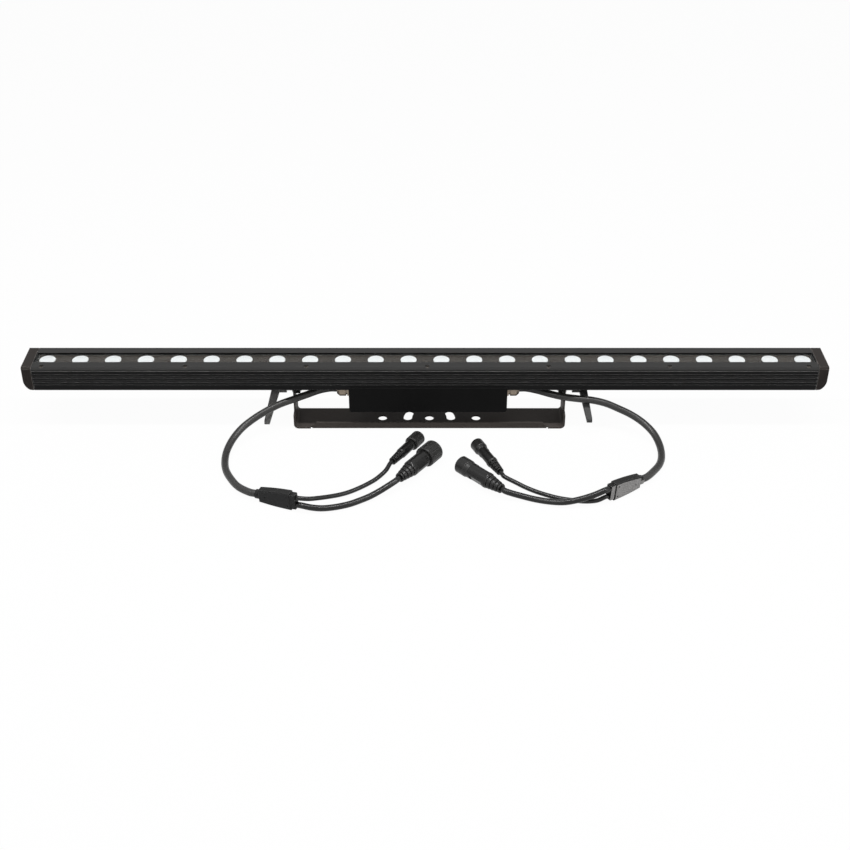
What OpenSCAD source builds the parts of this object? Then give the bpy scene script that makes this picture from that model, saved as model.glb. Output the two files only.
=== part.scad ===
// Linear LED wall washer on a tilting U bracket, with its two cable sets laid out in front.
// Millimetres. +X runs along the bar, +Z is up and -Y is the front.
// The origin is the centre bolt hole of the bracket, at the bracket's underside.

/* [Bar] */
// Length of the bar over both end caps
bar_length = 1000; // [600:5:1500]
// Width of the bar from front to back
bar_width = 52; // [51:1:60]
// Height of the bar from its underside to the top of the trims
bar_height = 33; // [33:0.5:38]
// How far the bar's middle sits to the left of the bracket's middle
bar_shift = 5.6; // [0:0.2:20]
// Slope cut from the outer top edge of the trims, across
edge_slope_width = 2.6; // [1:0.2:3]
// Slope cut from the outer top edge of the trims, down
edge_slope_drop = 2.5; // [1:0.2:2.6]
// Chamfer along the bar's lower long edges
base_chamfer = 1.3; // [0.5:0.1:1.8]

/* [Housing] */
// Thickness of the housing's side walls
side_wall = 4.5; // [4:0.5:6]
// Height of the housing's base under the wiring channels
base_height = 9.5; // [9.5:0.5:12]
// Height of the platform that carries the LED board, above the base
platform_height = 4; // [3:0.5:6]
// Number of grooves in each side
groove_count = 3; // [1:1:3]
// Distance from one side groove to the next
groove_pitch = 5.8; // [4.5:0.1:6.4]
// Height of a side groove
groove_height = 3.8; // [2:0.1:4.4]
// Depth of a side groove
groove_depth = 1.8; // [1:0.1:2.2]
// Mouth of the slot under the housing
slot_mouth = 7.2; // [6:0.2:9]
// Inside width of the slot under the housing
slot_width = 13; // [11:0.5:15]
// Inside height of the slot under the housing
slot_height = 4.5; // [4:0.5:5]
// Thickness of the lips beside the slot's mouth
slot_lip = 2; // [1.5:0.5:2.5]

/* [End caps] */
// Length of an end cap
cap_length = 12; // [10:1:18]
// How far an end cap's lower end edge rolls in, along the bar
cap_bottom_radius = 12; // [4:1:12]
// Height at which that roll starts, above the bar's underside
cap_bottom_height = 16; // [8:1:24]
// Radius of an end cap's upright end edges
cap_side_radius = 1; // [0.4:0.2:5]
// Thickness of the gasket behind an end cap
end_gasket = 0.8; // [0.5:0.1:1.5]

/* [Window] */
// Width of the window between the two trims
window_width = 23; // [22:0.5:26]
// Thickness of the cover glass
glass_thickness = 3; // [2:0.5:4]
// How far the glass reaches under each trim
glass_lap = 2.8; // [2:0.2:4]
// Thickness of the gasket under the glass
glass_seal = 0.8; // [0.6:0.1:1.2]
// Thickness of the trims over the glass
trim_flange = 1.2; // [0.8:0.1:2]

/* [Lenses] */
// Distance from one lens to the next
lens_pitch = 41.1; // [24:0.1:80]
// Diameter of a lens
lens_diameter = 20; // [14:0.5:20]
// Thickness of a lens at its rim
lens_rim = 1.6; // [1.2:0.1:2]
// How far a lens stands out of its panel
lens_proud = 0.6; // [0:0.1:0.6]
// Least distance from the end of the panel to the middle of a lens
lens_end_margin = 14; // [12:1:30]
// Thickness of the lens panel
panel_thickness = 2; // [1.6:0.1:2.5]
// Thickness of the LED board
led_board_thickness = 1.6; // [1:0.1:2]

/* [Trim screws] */
// Distance between the inner trim screws
trim_screw_pitch = 150; // [80:5:200]
// Distance from the end of the trim to its last screw
trim_screw_end = 12; // [9:1:30]
// How far the inner trim screws sit to the right of the bar's middle
trim_screw_shift = 3; // [-10:1:10]
// Distance of the trim screws from the front of the bar
trim_screw_inset = 4.5; // [4.2:0.1:5.5]
// Diameter of a trim screw's head
trim_head = 5.4; // [4.6:0.2:5.8]

/* [Driver box] */
// Length of the driver box
box_length = 198.2; // [190:0.2:260]
// How far the driver box sits to the left of the bracket's middle
box_shift = 1.8; // [0:0.2:8]
// Height of the driver box under the bar
box_height = 30.7; // [30:0.1:34]
// Wall thickness of the driver box
box_wall = 3; // [2.5:0.5:4]
// Floor thickness of the driver box
box_floor = 3.5; // [3:0.5:5]
// Radius of the driver box's lower end corners
box_corner = 3.5; // [1:0.5:6]
// Thickness of the walls that lap over the bar's sides
lap_wall = 1.5; // [1:0.1:2]
// How far those walls reach up the bar's sides
lap_height = 4.8; // [3:0.1:8]
// Thickness of the gasket between driver box and bar
box_seal = 1; // [0.6:0.1:1.5]
// Free space between the driver board and each end of its box
board_end_space = 29; // [27:0.5:40]

/* [Bracket] */
// Width of the bracket over both arms
bracket_width = 344.5; // [300:0.5:400]
// Thickness of the bracket's sheet
sheet = 2; // [1.5:0.5:3]
// Depth of the bracket from front to back
bracket_depth = 45; // [42:0.5:60]
// Outer radius of the bracket's bends
bend_radius = 6; // [4:0.5:8]
// Height of the stiffening flange along the front
flange_height = 10; // [8:0.5:12]
// Length of the stiffening flange
flange_length = 298; // [200:2:310]
// Width of the upper part of an arm
arm_width = 21; // [16:1:24]
// Height at which the arms start to narrow
arm_shoulder = 19.4; // [12:0.2:19.6]
// Height at which the arms reach their upper width
arm_neck = 20.2; // [19.8:0.1:20.4]
// Diameter of the three bolt holes
bolt_hole = 11.5; // [6:0.5:12]
// Distance between the outer bolt holes
bolt_spacing = 120; // [100:5:160]
// Width of the two arc slots
arc_slot_width = 11; // [6:0.5:12]
// Radius of the arc slots' centre line
arc_slot_radius = 27.7; // [25:0.1:30]
// Angle that each arc slot sweeps
arc_slot_sweep = 22; // [10:1:24]

/* [Pivot] */
// Height of the tilt axis above the ground
pivot_height = 46.6; // [46.6:0.2:56]
// Distance from the tilt axis up to the bar's underside
pivot_drop = 12.5; // [12.5:0.5:16]
// Diameter of the lever studs
stud_diameter = 6; // [5:1:6]
// Width of the pivot ears
ear_width = 13; // [12:0.5:16]
// Thickness of the upright part of a pivot ear
ear_thickness = 5; // [4:0.5:6]
// Length of a pivot ear's foot
ear_foot = 29; // [24:1:34]
// Thickness of a pivot ear's foot
ear_foot_thickness = 3; // [3:0.2:4]
// Thickness of the friction discs between ears and arms
friction_disc = 1.5; // [1:0.1:2.5]

/* [Clamping levers] */
// Reach of a lever from the tilt axis to its tip
lever_reach = 46; // [34:1:46.5]
// Length of a lever's hub
hub_length = 17.6; // [17:0.2:22]
// Diameter of a lever's hub
hub_diameter = 11; // [10.6:0.2:12]
// Free length of stud between arm and hub
stud_gap = 8.8; // [4:0.2:12]
// How far the left lever's tip leans outwards from its root
left_lever_lean = 11.5; // [4:0.5:14]
// How far the right lever's tip leans outwards from its root
right_lever_lean = 7; // [4:0.5:14]
// Rest angle of the left lever, forwards from straight down
left_lever_angle = 33; // [0:1:60]
// Rest angle of the right lever, forwards from straight down
right_lever_angle = 52; // [0:1:60]
// Travel of a handle when it is pulled out to be turned
pull_travel = 3; // [2:0.5:3]

/* [Cable glands] */
// Size of a gland body's hexagon, across flats
gland_hex = 19; // [17:0.5:20]
// Diameter of a gland's thread
gland_thread = 16; // [15:0.5:16]
// Thickness of a gland body's hexagon
gland_flange = 3; // [2.5:0.5:6]
// Length of the round neck between a gland's body and its cap nut
gland_neck = 1.9; // [1:0.1:3]
// Length of a gland's cap nut
gland_nut = 11.3; // [8:0.1:12]
// Size of a gland cap nut's hexagon, across flats
gland_nut_hex = 19; // [15:0.5:20]

/* [Cables] */
// Diameter of the main cables
main_cable = 9; // [7:0.1:9.2]
// Diameter of the power tails
power_tail = 7.5; // [6:0.1:8]
// Diameter of the data tails
data_tail = 5.5; // [4:0.1:5.6]

/* [Splitters] */
// Length of a splitter's block
splitter_length = 42.5; // [36:0.5:50]
// Height of a splitter where the main cable enters
splitter_narrow = 16; // [14:0.5:18]
// Height of a splitter where the tails leave
splitter_wide = 23; // [20:0.5:26]
// Thickness of a splitter
splitter_thickness = 10.6; // [10.2:0.1:16]

/* [Plugs] */
// Length of the left power plug with its nut
power_plug_length = 73; // [70:1:80]
// Diameter of the left power plug's nut
power_nut_diameter = 26; // [25:0.5:28]
// Length of the left data plug with its nut
data_plug_length = 62; // [58:1:68]
// Diameter of the left data plug's nut
data_nut_diameter = 18; // [17:0.5:20]
// Length of the right power socket with its cap
power_socket_length = 70; // [66:1:78]
// Diameter of the right power socket's cap
power_cap_diameter = 21.6; // [21:0.2:24]
// Length of the right data socket with its cap
data_socket_length = 66; // [60:1:72]
// Diameter of the right data socket's cap
data_cap_diameter = 16.8; // [16:0.2:18]

/* [Hidden] */

$fn = 48;
fine = 32;
through = 1;      // how far a cut runs past a face
slide_fit = 0.2;  // gap round pieces that drop into a recess
screw_fit = 0.05; // gap round a screw in its own thread

// Heights of the bar, from its underside
half_width = bar_width / 2;
trim_height = trim_flange + glass_thickness + glass_seal;
wall_top = bar_height - trim_height;
glass_top = bar_height - trim_flange;
glass_bottom = glass_top - glass_thickness;
panel_bottom = wall_top - panel_thickness;
shelf_lap = 1;
shelf_height = 2.5;
shelf_slope = 1.5;
platform_top = base_height + platform_height;
board_top = platform_top + led_board_thickness;

// Half widths of the bar's inside
window_half = window_width / 2;
glass_half = window_half + glass_lap;
rebate_half = glass_half + slide_fit;
panel_half = window_half + 0.1;
well_half = panel_half + slide_fit;
shelf_half = panel_half - shelf_lap;
channel_half = half_width - side_wall;
platform_half = window_half + 1;
led_board_half = window_half + 0.5;

// Lengths along the bar
inner_length = bar_length - 2 * (cap_length + end_gasket);
glass_length = inner_length;
bar_bottom = pivot_height + pivot_drop;
lens_count = floor((inner_length - 2 * lens_end_margin) / lens_pitch) + 1;
lens_places = [for (i = [0 : lens_count - 1]) (i - (lens_count - 1) / 2) * lens_pitch];

// Side grooves, counted from the top
groove_top = wall_top - 4.3;
groove_low_share = 0.62;

// Reveal between a trim and the housing
reveal_depth = 0.6;
reveal_height = 0.5;

// Hook of the rear trim, from the back of the bar
hook_inset = 6.5;
hook_neck = 2.2;
hook_head = 4.2;
hook_depth = 3;
hook_head_height = 1.5;

// Screw ports that run the length of the housing
port_radius = 1.4;
upper_port = [window_half + 4, wall_top - 3.4];
lower_port = [channel_half + 0.3, base_height - 3];
cap_head_radius = 2.8;
cap_head_height = 2.2;
cap_seat = cap_length * 0.3;
roll_steps = 12;
cap_screw_grip = 10;

// Trim screws
trim_screw_radius = port_radius;
trim_head_height = 1.8;
trim_recess_depth = 2.5;
trim_recess_radius = trim_head / 2 + 0.4;
trim_screw_grip = 7;
trim_screw_y = -(half_width - trim_screw_inset);
end_screw_x = inner_length / 2 - trim_screw_end;
inner_screw_reach = floor((end_screw_x - trim_screw_pitch / 3) / trim_screw_pitch);
inner_screw_places = [for (i = [-inner_screw_reach : inner_screw_reach])
    i * trim_screw_pitch + trim_screw_shift];
trim_screw_places = concat([-end_screw_x], inner_screw_places, [end_screw_x]);

// Driver box, measured from the bar's underside
box_outer_half = half_width + slide_fit + lap_wall;
box_inner_half = box_outer_half - box_wall;
box_seat_half = half_width + slide_fit;
box_inner_length = box_length - 2 * box_wall;
driver_board_length = box_length - 2 * board_end_space;
box_post_x = box_length / 2 - 20;
box_post_y = slot_width / 2 + 4.7;
box_post_radius = 4.5;
box_screw_radius = 1.9;
box_head_radius = 3.6;
box_head_height = 2.2;
box_screw_grip = 7;
board_lift = 5;
driver_board_thickness = 1.6;
driver_board_width = 2 * box_inner_half - 5;
board_hole_inset = 5;
board_boss_radius = 3;
board_screw_radius = 1.2;
driver_board_top = -box_height + box_floor + board_lift + driver_board_thickness;
terminal_x = driver_board_length / 2 - 8;
terminal_height = 16;
terminal_length = 10;
terminal_width = 18;
transformer_length = 28;
transformer_width = 24;
transformer_height = 16;
capacitor_x = -34;
capacitor_y = 10;
capacitor_radius = 6.3;
capacitor_height = 17;
spreader_x = 24;
spreader_thickness = 3;
spreader_length = 28;
spreader_height = 15;

// Wire way from the driver box up to the LED board
wire_way_x = 40;
wire_way_y = platform_half + 3.6;
wire_way_radius = 3.2;
lead_radius = 1.5;

// Bracket
arm_x = bracket_width / 2;
flange_bend = sheet + 1;
flange_proud = 1.2; // the flange stands a little in front of the base plate
flange_chamfer = 6;
arm_top_radius = arm_width / 2;
stud_hole_radius = stud_diameter / 2 + 0.2;

// Pivot ears
ear_outer = arm_x - sheet - friction_disc;
ear_screw_x = ear_outer - ear_thickness - ear_foot / 2 + 3;
ear_screw_radius = 2.4;
ear_head_radius = 4.6;
ear_head_depth = 2.2;
t_nut_length = 12;
t_nut_height = slot_height - 0.5;
disc_radius = ear_width / 2;

// Clamping levers, measured outwards from the arm
washer_thickness = 1.6;
washer_radius = 5.5;
insert_radius = 3.8;
handle_bore = insert_radius + 0.15;
insert_length = 9.5;
insert_end = stud_gap + insert_length;
web_gap = 0.2;
web_thickness = 1.5;
web_start = insert_end + web_gap;
web_end = web_start + web_thickness;
hub_end = stud_gap + hub_length;
lever_screw_radius = 1.6;
lever_head_radius = 3.3;
lever_head_height = 1.5;
lever_head_seat = hub_end - lever_head_height;
spring_wire = 0.5;
spring_radius = 2.6;
spring_turns = 2.5;
handle_root_width = 8.4;
handle_tip_width = 6.4;
handle_tip_radius = 3.4;
stud_tail = 2;

// Cable glands, measured outwards from the driver box
gland_wall_x = box_length / 2;
gland_nut_start = gland_flange + gland_neck;
gland_length = gland_nut_start + gland_nut;
gland_end = gland_wall_x + gland_length;
gland_bore = main_cable / 2 + 0.4;
gland_hole = gland_thread / 2 + 0.1;
gland_inner = box_wall + 5;
lock_nut_thickness = 3;
lock_nut_hex = gland_thread + 4;
seal_depth = 6;
seal_radius = main_cable / 2 + 0.9;
nut_cone = 3.8;
nut_mouth_radius = seal_radius + 1.4;

// Where the splitters, plugs and sockets lie: place of the cable end, and the way they point
splitter_neck = 5;
splitter_neck_radius = main_cable / 2 + 1.1;
splitter_shoulder = 6;
splitter_bulge = 0.8;
splitter_tilt = atan((splitter_wide - splitter_narrow) / 2 / splitter_length);
tail_step = 5;
left_splitter_at = [-199.8, -175.4, splitter_narrow / 2 + splitter_bulge];
left_splitter_turn = -23;
right_splitter_at = [249, -147.8, splitter_narrow / 2 + splitter_bulge];
right_splitter_turn = 217;
left_power_at = [-36, -148, power_nut_diameter / 2];
left_power_turn = 55;
left_data_at = [-45.2, -108, data_nut_diameter / 2];
left_data_turn = 59;
right_power_at = [85, -167.1, power_cap_diameter / 2];
right_power_turn = 133;
right_data_at = [85, -129.1, data_cap_diameter / 2];
right_data_turn = 114;

// Directions and end places that the cables share with what they meet
function heading(turn, rise = 0) = [cos(turn) * cos(rise), sin(turn) * cos(rise), sin(rise)];
function neck_face(at, turn) = at - splitter_neck * heading(turn, splitter_tilt);
function tail_face(at, turn, side) =
    at + (splitter_length + splitter_shoulder) * heading(turn, splitter_tilt)
    + side * tail_step * [-cos(turn) * sin(splitter_tilt), -sin(turn) * sin(splitter_tilt), cos(splitter_tilt)];

// Cable routes. The first and last stretch of each is straight and square to what it meets.
left_main_route = [
    [-gland_end - box_shift, 0, pivot_height], [-gland_end - box_shift - main_cable, 0, pivot_height],
    [-139, -4, 46.2], [-154.5, -10.5, 43.8], [-172, -17, 40.5], [-189, -22.5, 36.5], [-205, -29, 31],
    [-220.5, -37, 24.5], [-234.5, -48.5, 18], [-244.5, -64, 12], [-250, -82.5, 7.5], [-250.5, -101, 5.3],
    [-247, -120.5, 5], [-239, -139, 5.4], [-227.5, -157.5, 6.6],
    neck_face(left_splitter_at, left_splitter_turn) - main_cable * heading(left_splitter_turn, splitter_tilt),
    neck_face(left_splitter_at, left_splitter_turn)
];
right_main_route = [
    [gland_end - box_shift, 0, pivot_height], [gland_end - box_shift + main_cable, 0, pivot_height],
    [136.5, -4.5, 46.2], [152.5, -11.5, 45.3], [169.5, -17.3, 44.4], [187, -20.8, 43.9], [204.5, -21.6, 42.3],
    [221.5, -23.2, 38.7], [237.5, -25.5, 32.5], [254, -30, 26], [268.5, -38.5, 19.5], [280, -52, 13],
    [285.5, -70.5, 8], [285.5, -90.5, 5.3], [280.5, -108.5, 5], [270, -126.2, 6.2],
    neck_face(right_splitter_at, right_splitter_turn) - main_cable * heading(right_splitter_turn, splitter_tilt),
    neck_face(right_splitter_at, right_splitter_turn)
];
left_power_route = [
    tail_face(left_splitter_at, left_splitter_turn, -1),
    tail_face(left_splitter_at, left_splitter_turn, -1) + power_tail * heading(left_splitter_turn, splitter_tilt),
    [-138.5, -198.3, 6.6], [-127, -197.6, 4.8], [-116, -195.5, 4.1], [-105, -192.5, 4], [-93.5, -188, 4],
    [-82, -181.5, 4.3], [-70.5, -175, 5.5], [-59.5, -168, 7.8], [-49, -161, 10.8],
    left_power_at - power_tail * heading(left_power_turn), left_power_at
];
left_data_route = [
    tail_face(left_splitter_at, left_splitter_turn, 1),
    tail_face(left_splitter_at, left_splitter_turn, 1) + data_tail * heading(left_splitter_turn, splitter_tilt),
    [-140.5, -194.2, 16], [-129, -187, 12], [-117.5, -178.8, 8], [-106, -171, 5], [-94.5, -163, 3.4],
    [-83.5, -154.5, 3], [-74.5, -147, 3.1], [-66, -139.5, 3.8], [-59, -132, 5.2], [-52.5, -123.5, 7.2],
    left_data_at - data_tail * heading(left_data_turn), left_data_at
];
right_power_route = [
    tail_face(right_splitter_at, right_splitter_turn, 1),
    tail_face(right_splitter_at, right_splitter_turn, 1) + power_tail * heading(right_splitter_turn, splitter_tilt),
    [192, -184.3, 14], [175, -187.8, 10.2], [158, -188.5, 7], [141, -184.5, 4.8], [124, -179, 4.1],
    [108, -175.5, 6.4],
    right_power_at - power_tail * heading(right_power_turn), right_power_at
];
right_data_route = [
    tail_face(right_splitter_at, right_splitter_turn, -1),
    tail_face(right_splitter_at, right_splitter_turn, -1) + data_tail * heading(right_splitter_turn, splitter_tilt),
    [196.3, -182.6, 5], [182.2, -181.8, 3.1], [168, -179.2, 2.9], [153.5, -175.5, 2.9], [140.5, -170, 2.9],
    [127, -163, 3.2], [114.5, -156, 4.5], [102.5, -148, 6.3],
    right_data_at - 2 * data_tail * heading(right_data_turn),
    right_data_at - data_tail * heading(right_data_turn), right_data_at
];

// Colours
anodised = [0.2, 0.2, 0.2];
cast_black = [0.09, 0.09, 0.09];
coated_black = [0.2, 0.18, 0.17];
rubber_black = [0.07, 0.07, 0.07];
plastic_black = [0.12, 0.12, 0.12];
brass = [0.72, 0.58, 0.36];
steel = [0.7, 0.7, 0.7];
board_green = [0.1, 0.3, 0.18];
lens_white = [0.95, 0.95, 0.95];
glass_clear = [0.9, 0.95, 0.95, 0.3];

// Shared shapes

// A profile of Y and Z, drawn out along X
module along_x(length) {
    rotate([90, 0, 90])
        linear_extrude(length, center = true)
            children();
}

// A profile of X and Z, drawn out along Y
module along_y(length) {
    rotate([90, 0, 0])
        linear_extrude(length, center = true)
            children();
}

// A round bar along X from one place to another
module x_rod(radius, from, to) {
    translate([from, 0, 0])
        rotate([0, 90, 0])
            cylinder(r = radius, h = to - from);
}

// A hexagonal bar along X, sized across its flats
module x_hex(flats, from, to) {
    translate([from, 0, 0])
        rotate([0, 90, 0])
            cylinder(r = flats / sqrt(3), h = to - from, $fn = 6);
}

// A turned shape about X, from points of radius and distance
module x_turned(points) {
    rotate([0, 90, 0])
        rotate_extrude()
            polygon(points);
}

// The bar's own frame: its middle, at its underside
module at_bar() {
    translate([-bar_shift, 0, bar_bottom])
        children();
}

// The driver box's own frame: its middle, at the bar's underside
module at_box() {
    translate([-box_shift, 0, bar_bottom])
        children();
}

// Both ends of the tilt axis, with +X pointing outwards from the middle
module both_sides() {
    children();
    mirror([1, 0, 0])
        children();
}

function mirrored(points) =
    concat(points, [for (i = [len(points) - 1 : -1 : 0]) [-points[i][0], points[i][1]]]);

// Cable swept through its route, with a ring square to the route at each point
function unit(v) = v / norm(v);
function route_way(route, i) =
    unit(route[min(i + 1, len(route) - 1)] - route[max(i - 1, 0)]);
function ring_point(centre, way, radius, angle) =
    let (side = unit(cross(way, [0, 0, 1])))
    let (up = cross(side, way))
    centre + radius * (cos(angle) * side + sin(angle) * up);

module cable(route, diameter, sides) {
    rings = len(route);
    // The flats of the ring, not its corners, stand one radius from the middle on average
    radius = diameter / 2;
    points = [for (i = [0 : rings - 1], k = [0 : sides - 1])
        ring_point(route[i], route_way(route, i), radius, k * 360 / sides)];
    walls = [for (i = [0 : rings - 2], k = [0 : sides - 1], half = [0, 1])
        let (a = i * sides + k)
        let (b = i * sides + (k + 1) % sides)
        half == 0 ? [a, b, b + sides] : [a, b + sides, a + sides]];
    first_end = [[for (k = [sides - 1 : -1 : 0]) k]];
    last_end = [[for (k = [0 : sides - 1]) (rings - 1) * sides + k]];
    polyhedron(points = points, faces = concat(first_end, walls, last_end));
}

// Bracket and pivot

module bend_profile() {
    // U shape of the sheet, seen from the front
    translate([-arm_x + bend_radius, 0])
        square([bracket_width - 2 * bend_radius, sheet]);
    for (side = [-1, 1])
        translate([side > 0 ? arm_x - sheet : -arm_x, bend_radius])
            square([sheet, pivot_height + arm_top_radius - bend_radius]);
    for (side = [-1, 1])
        translate([side * (arm_x - bend_radius), bend_radius])
            intersection() {
                difference() {
                    circle(r = bend_radius);
                    circle(r = bend_radius - sheet);
                }
                translate([side > 0 ? 0 : -bend_radius, -bend_radius])
                    square(bend_radius);
            }
}

module arm_outline() {
    // Outline of an arm, seen from the side
    polygon(mirrored([
        [bracket_depth / 2, 0],
        [bracket_depth / 2, arm_shoulder],
        [arm_width / 2, arm_neck],
        [arm_width / 2, pivot_height]
    ]));
    translate([0, pivot_height])
        circle(r = arm_top_radius);
}

module front_flange() {
    // Folded up along the front edge, with its upper corners cut off
    edge = -bracket_depth / 2 - flange_proud;
    intersection() {
        along_x(flange_length)
            union() {
                translate([edge, flange_bend])
                    square([sheet, flange_height - flange_bend]);
                translate([edge + flange_bend, flange_bend])
                    intersection() {
                        difference() {
                            circle(r = flange_bend);
                            circle(r = flange_bend - sheet);
                        }
                        translate([-flange_bend, -flange_bend])
                            square(flange_bend);
                    }
                translate([edge + flange_bend, 0])
                    square([flange_bend, sheet]);
            }
        along_y(bracket_depth + 2 * flange_proud + through)
            polygon([
                [-flange_length / 2, 0], [flange_length / 2, 0],
                [flange_length / 2, flange_height - flange_chamfer],
                [flange_length / 2 - flange_chamfer, flange_height],
                [-flange_length / 2 + flange_chamfer, flange_height],
                [-flange_length / 2, flange_height - flange_chamfer]
            ]);
    }
}

// Points round an arc, without its first point, so that arcs can follow each other
function arc_points(centre, radius, from, to) =
    let (steps = ceil(abs(to - from) / 7.5))
    [for (i = [1 : steps])
        let (angle = from + (to - from) * i / steps)
        centre + radius * [cos(angle), sin(angle)]];

module arc_slot(start) {
    end = start + arc_slot_sweep;
    half = arc_slot_width / 2;
    first = arc_slot_radius * [cos(start), sin(start)];
    last = arc_slot_radius * [cos(end), sin(end)];
    translate([0, 0, -through])
        linear_extrude(sheet + 2 * through)
            polygon(concat(
                arc_points([0, 0], arc_slot_radius + half, start, end),
                arc_points(last, half, end, end + 180),
                arc_points([0, 0], arc_slot_radius - half, end, start),
                arc_points(first, half, start + 180, start + 360)
            ));
}

module yoke_bracket() {
    color(coated_black) difference() {
        union() {
            difference() {
                intersection() {
                    along_y(bracket_depth)
                        bend_profile();
                    along_x(bracket_width + through)
                        arm_outline();
                }
                // Front strip gives way to the folded flange
                translate([-flange_length / 2 - sheet, -bracket_depth / 2 - through, -through])
                    cube([flange_length + 2 * sheet, flange_bend + through, sheet + 2 * through]);
            }
            front_flange();
        }
        for (x = [-bolt_spacing / 2, 0, bolt_spacing / 2])
            translate([x, 0, -through])
                cylinder(d = bolt_hole, h = sheet + 2 * through);
        arc_slot(0);
        arc_slot(180 - arc_slot_sweep);
        translate([0, 0, pivot_height])
            x_rod(stud_hole_radius, -arm_x - through, arm_x + through);
    }
}

module friction_discs() {
    color(rubber_black) both_sides() translate([0, 0, pivot_height]) difference() {
        x_rod(disc_radius, ear_outer, ear_outer + friction_disc);
        x_rod(stud_hole_radius, ear_outer - through, arm_x);
    }
}

module arm_washers() {
    color(steel) both_sides() translate([arm_x, 0, pivot_height]) difference() {
        x_rod(washer_radius, 0, washer_thickness);
        x_rod(stud_hole_radius, -through, washer_thickness + through);
    }
}

module pivot_ears() {
    foot_end = ear_outer - ear_thickness - ear_foot + through;
    color(anodised) both_sides() difference() {
        union() {
            translate([ear_outer - ear_thickness / 2, 0, pivot_height])
                along_x(ear_thickness)
                    union() {
                        circle(d = ear_width);
                        translate([-ear_width / 2, 0])
                            square([ear_width, pivot_drop]);
                    }
            translate([foot_end, -ear_width / 2, bar_bottom - ear_foot_thickness])
                cube([ear_outer - foot_end - through / 2, ear_width, ear_foot_thickness]);
        }
        translate([0, 0, pivot_height])
            x_rod(stud_diameter / 2 + screw_fit, ear_outer - ear_thickness - through, arm_x);
        translate([ear_screw_x, 0, bar_bottom])
            ear_screw_shape(screw_fit, through);
    }
}

// Countersunk screw, head down, with its top at the given height in the slot
module ear_screw_shape(gap, extra) {
    translate([0, 0, -ear_foot_thickness - extra])
        cylinder(r = ear_screw_radius + gap, h = ear_foot_thickness + extra + slot_lip + t_nut_height - 0.5);
    translate([0, 0, -ear_foot_thickness])
        cylinder(r1 = ear_head_radius + gap, r2 = ear_screw_radius + gap, h = ear_head_depth + gap);
    if (extra > 0)
        translate([0, 0, -ear_foot_thickness - extra])
            cylinder(r = ear_head_radius + gap, h = extra);
}

module ear_screws() {
    color(steel) both_sides() translate([ear_screw_x, 0, bar_bottom]) ear_screw_shape(0, 0);
}

module t_nuts() {
    color(steel) both_sides() translate([ear_screw_x, 0, bar_bottom + slot_lip]) difference() {
        translate([-t_nut_length / 2, -slot_width / 2 + slide_fit, 0])
            cube([t_nut_length, slot_width - 2 * slide_fit, t_nut_height]);
        translate([0, 0, -through])
            cylinder(r = ear_screw_radius + screw_fit, h = t_nut_height + 2 * through);
    }
}

// Clamping levers. Each is drawn with +X outwards from the arm and its handle straight down.

module on_left(angle) {
    mirror([1, 0, 0])
        on_right(angle)
            children();
}

module on_right(angle) {
    translate([arm_x, 0, pivot_height])
        rotate([-angle, 0, 0])
            children();
}

module lever_handle(lean) {
    root_middle = hub_end - handle_root_width / 2;
    tip_middle = root_middle + lean;
    tip_height = lever_reach - handle_tip_radius;
    color(plastic_black) difference() {
        union() {
            x_rod(hub_diameter / 2, stud_gap, hub_end);
            hull() {
                x_rod(hub_diameter / 2 - 0.3, hub_end - handle_root_width, hub_end, $fn = fine);
                translate([tip_middle, 0, -tip_height])
                    x_rod(handle_tip_radius, -handle_tip_width / 2, handle_tip_width / 2, $fn = fine);
            }
        }
        x_rod(handle_bore, stud_gap - through, web_start);
        x_rod(lever_screw_radius + 0.2, web_start - through, hub_end);
        x_rod(handle_bore, web_end, hub_end + through);
    }
}

module lever_stud() {
    color(steel) difference() {
        union() {
            x_rod(stud_diameter / 2, -sheet - friction_disc - ear_thickness - stud_tail, stud_gap + through);
            x_rod(insert_radius, stud_gap, insert_end);
        }
        x_rod(lever_screw_radius + screw_fit, stud_gap + 2, insert_end + through);
    }
}

module lever_screw() {
    color(steel) difference() {
        union() {
            x_rod(lever_screw_radius, stud_gap + 3, lever_head_seat + lever_head_height / 2);
            x_rod(lever_head_radius, lever_head_seat, hub_end);
        }
        x_hex(2.5, hub_end - 1, hub_end + through);
    }
}

module lever_spring() {
    // Closed tube on a helix, from the web to the screw's head
    steps = 12;
    sides = 6;
    low = web_end + spring_wire / 2;
    rise = lever_head_seat - web_end - spring_wire;
    count = spring_turns * steps;
    route = [for (i = [0 : count])
        [low + rise * i / count, spring_radius * cos(i * 360 / steps), spring_radius * sin(i * 360 / steps)]];
    points = [for (i = [0 : count], k = [0 : sides - 1])
        let (out = unit([0, route[i][1], route[i][2]]))
        route[i] + spring_wire / 2 * (cos(k * 360 / sides) * out + sin(k * 360 / sides) * [1, 0, 0])];
    walls = [for (i = [0 : count - 1], k = [0 : sides - 1], half = [0, 1])
        let (a = i * sides + k)
        let (b = i * sides + (k + 1) % sides)
        half == 0 ? [a, b + sides, b] : [a, a + sides, b + sides]];
    first_end = [[for (k = [0 : sides - 1]) k]];
    last_end = [[for (k = [sides - 1 : -1 : 0]) count * sides + k]];
    color(steel) polyhedron(points = points, faces = concat(first_end, walls, last_end));
}

module left_lever_handle() on_left(left_lever_angle) lever_handle(left_lever_lean);
module left_lever_stud() on_left(left_lever_angle) lever_stud();
module left_lever_screw() on_left(left_lever_angle) lever_screw();
module left_lever_spring() on_left(left_lever_angle) lever_spring();
module right_lever_handle() on_right(right_lever_angle) lever_handle(right_lever_lean);
module right_lever_stud() on_right(right_lever_angle) lever_stud();
module right_lever_screw() on_right(right_lever_angle) lever_screw();
module right_lever_spring() on_right(right_lever_angle) lever_spring();

// Housing

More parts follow.
